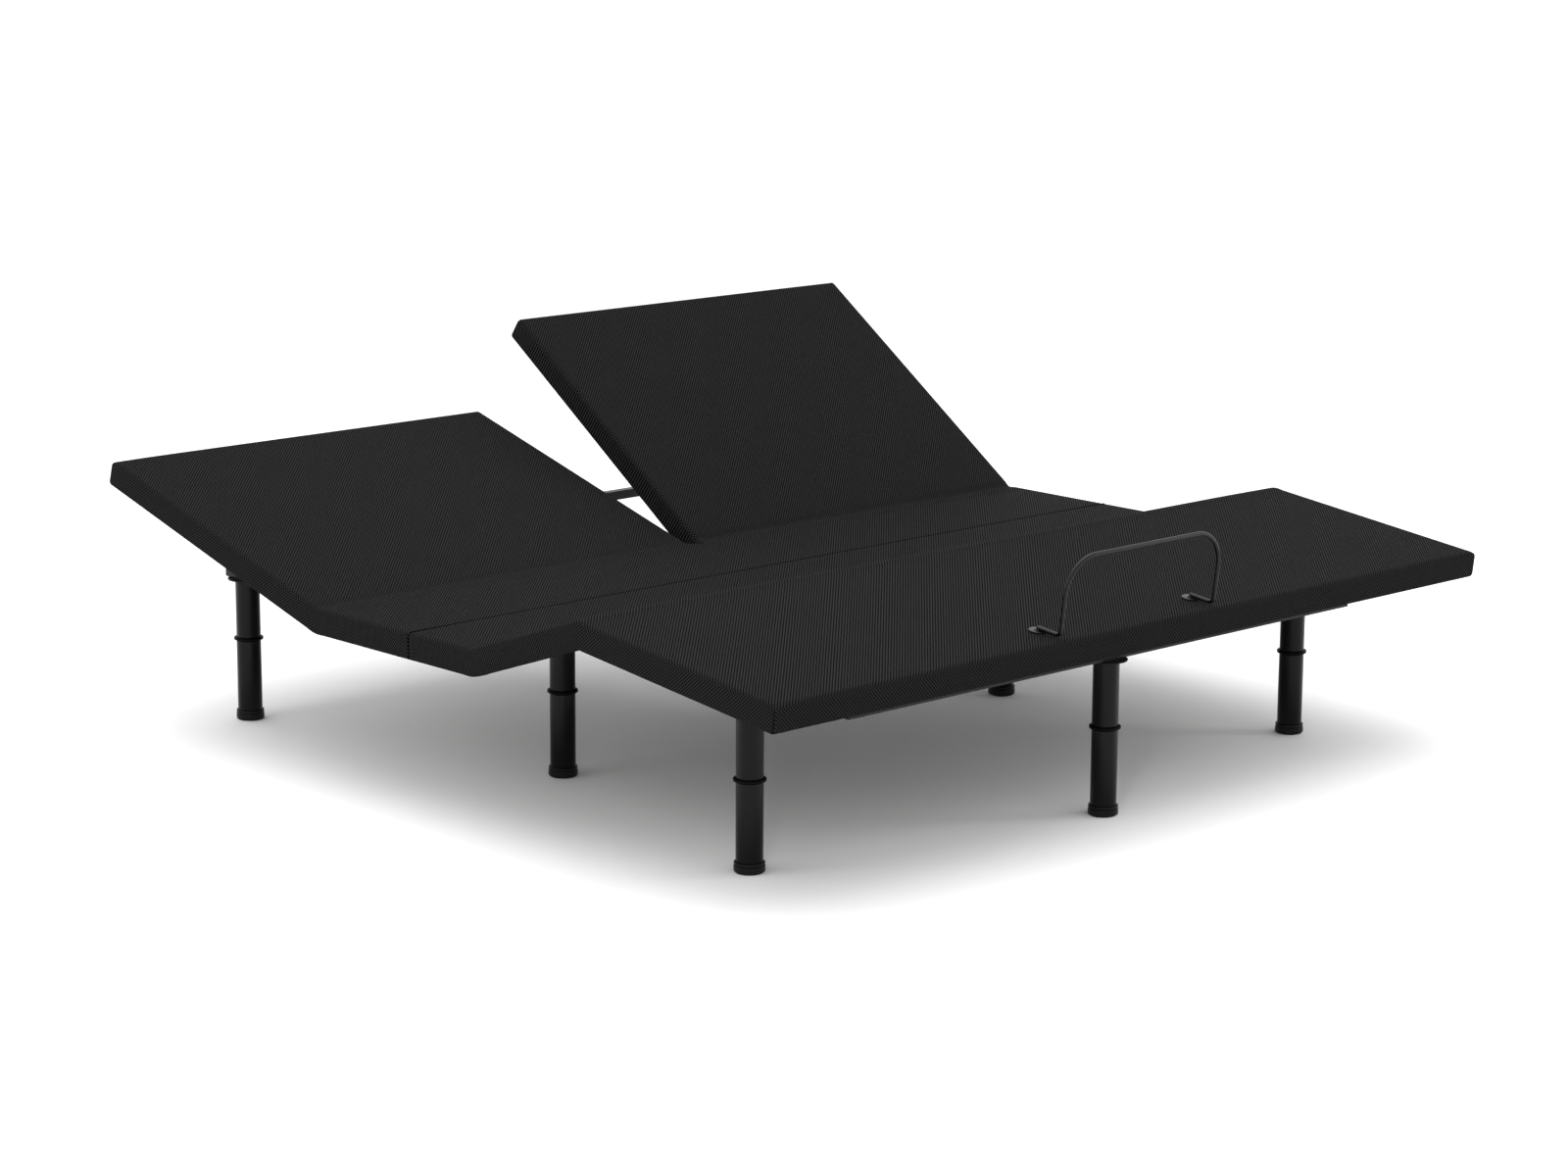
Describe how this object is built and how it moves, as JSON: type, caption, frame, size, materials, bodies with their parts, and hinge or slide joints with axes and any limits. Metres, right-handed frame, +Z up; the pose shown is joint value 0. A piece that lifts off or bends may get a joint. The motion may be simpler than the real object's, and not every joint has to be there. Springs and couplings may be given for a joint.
{
  "type": "adjustable bed base",
  "caption": "Powered bed base with a folding padded deck, a split head, a raised thigh section, a mattress retainer bar and two-part round legs.",
  "frame": {"origin": "on the floor, under the middle of the base's overall length and width as it stands in the picture", "axes": "+X to the right seen from the foot, +Y to the head, +Z up"},
  "size_m": [1.93, 1.9842, 0.7504],
  "materials": {
    "fabric": "black spacer-mesh upholstery fabric, fine ribs with rows of small holes",
    "frame_paint": "satin black powder coat",
    "plywood": "plain birch plywood",
    "black_plastic": "fine-grained moulded black plastic",
    "nylon": "turned grey nylon",
    "rod_chrome": "polished hard chrome",
    "zinc_steel": "bright zinc plate"
  },
  "bodies": {
    "frame": {"side_rail_left": "frame_paint", "side_rail_right": "frame_paint", "inner_rail_left": "frame_paint", "inner_rail_right": "frame_paint", "head_crossbar": "frame_paint", "thigh_crossbar": "frame_paint", "foot_crossbar": "frame_paint", "foot_beam": "frame_paint", "headboard_bar": "frame_paint", "leg_head_left_upper": "frame_paint", "leg_head_left_lower": "frame_paint", "leg_head_left_cap": "black_plastic", "leg_head_right_upper": "frame_paint", "leg_head_right_lower": "frame_paint", "leg_head_right_cap": "black_plastic", "leg_middle_left_upper": "frame_paint", "leg_middle_left_lower": "frame_paint", "leg_middle_left_cap": "black_plastic", "leg_middle_right_upper": "frame_paint", "leg_middle_right_lower": "frame_paint", "leg_middle_right_cap": "black_plastic", "leg_foot_left_upper": "frame_paint", "leg_foot_left_lower": "frame_paint", "leg_foot_left_cap": "black_plastic", "leg_foot_right_upper": "frame_paint", "leg_foot_right_lower": "frame_paint", "leg_foot_right_cap": "black_plastic", "leg_foot_centre_upper": "frame_paint", "leg_foot_centre_lower": "frame_paint", "leg_foot_centre_cap": "black_plastic", "seat_board": "plywood", "seat_head_cover": "fabric", "seat_thigh_cover": "fabric", "head_fold_shaft": "zinc_steel", "thigh_fold_shaft": "zinc_steel", "head_left_actuator_housing": "black_plastic", "head_right_actuator_housing": "black_plastic", "thigh_actuator_housing": "black_plastic", "control_box": "black_plastic"},
    "head_left": {"head_left_cover": "fabric", "head_left_board": "plywood"},
    "head_right": {"head_right_cover": "fabric", "head_right_board": "plywood"},
    "thigh": {"thigh_cover": "fabric", "thigh_board": "plywood", "foot_fold_shaft": "zinc_steel"},
    "foot": {"foot_cover": "fabric", "foot_board": "plywood", "retainer_bar": "frame_paint"},
    "head_left_lift": {"head_left_lift_arm": "frame_paint", "head_left_glide": "nylon"},
    "head_right_lift": {"head_right_lift_arm": "frame_paint", "head_right_glide": "nylon"},
    "thigh_lift": {"thigh_lift_arm": "frame_paint", "thigh_glide": "nylon"},
    "head_left_rod": {"head_left_actuator_rod": "rod_chrome"},
    "head_right_rod": {"head_right_actuator_rod": "rod_chrome"},
    "thigh_rod": {"thigh_actuator_rod": "rod_chrome"},
    "foot_links": {"foot_link_left": "frame_paint", "foot_link_right": "frame_paint"}
  },
  "joints": [
    {"name": "head_left_fold", "type": "hinge", "parent": "frame", "child": "head_left", "pos_m": [0, 0.3013, 0.338], "axis": [1, 0, 0], "range_deg": [-15.85, 44.15]},
    {"name": "head_left_lift_turn", "type": "hinge", "parent": "frame", "child": "head_left_lift", "pos_m": [-0.22, 0.3013, 0.245], "axis": [1, 0, 0], "range_deg": [-14.45, 39.35]},
    {"name": "head_left_rod_slide", "type": "slide", "parent": "frame", "child": "head_left_rod", "axis": [0, 0.9972, -0.075], "range_m": [-0.02061, 0.05652]},
    {"name": "head_right_fold", "type": "hinge", "parent": "frame", "child": "head_right", "pos_m": [0, 0.3013, 0.338], "axis": [1, 0, 0], "range_deg": [-35, 25]},
    {"name": "head_right_lift_turn", "type": "hinge", "parent": "frame", "child": "head_right_lift", "pos_m": [0.22, 0.3013, 0.245], "axis": [1, 0, 0], "range_deg": [-31.3, 22.5]},
    {"name": "head_right_rod_slide", "type": "slide", "parent": "frame", "child": "head_right_rod", "axis": [0, 0.9972, -0.075], "range_m": [-0.04491, 0.03222]},
    {"name": "thigh_fold", "type": "hinge", "parent": "frame", "child": "thigh", "pos_m": [0, -0.1677, 0.338], "axis": [-1, 0, 0], "range_deg": [-19, 16]},
    {"name": "foot_fold", "type": "hinge", "parent": "thigh", "child": "foot", "pos_m": [0, -0.46601, 0.44072], "axis": [1, 0, 0], "range_deg": [-26.2, 22.14]},
    {"name": "thigh_lift_turn", "type": "hinge", "parent": "frame", "child": "thigh_lift", "pos_m": [0, -0.1677, 0.245], "axis": [-1, 0, 0], "range_deg": [-17.22, 14.58]},
    {"name": "thigh_rod_slide", "type": "slide", "parent": "frame", "child": "thigh_rod", "axis": [0, -0.9972, -0.075], "range_m": [-0.02461, 0.0208]},
    {"name": "foot_links_turn", "type": "hinge", "parent": "frame", "child": "foot_links", "pos_m": [0, -0.28505, 0.26788], "axis": [-1, 0, 0], "range_deg": [-20.84, 17.62]}
  ],
  "couplings": [
    {"joint": "head_left_lift_turn", "follows": "head_left_fold", "ratio": 0.88},
    {"joint": "head_left_rod_slide", "follows": "head_left_fold", "m_per_rad": 0.072705},
    {"joint": "head_right_lift_turn", "follows": "head_right_fold", "ratio": 0.88},
    {"joint": "head_right_rod_slide", "follows": "head_right_fold", "m_per_rad": 0.072705},
    {"joint": "foot_fold", "follows": "thigh_fold", "ratio": 1.3526},
    {"joint": "thigh_lift_turn", "follows": "thigh_fold", "ratio": 0.88},
    {"joint": "thigh_rod_slide", "follows": "thigh_fold", "m_per_rad": 0.072705},
    {"joint": "foot_links_turn", "follows": "thigh_fold", "ratio": 1.0702}
  ]
}
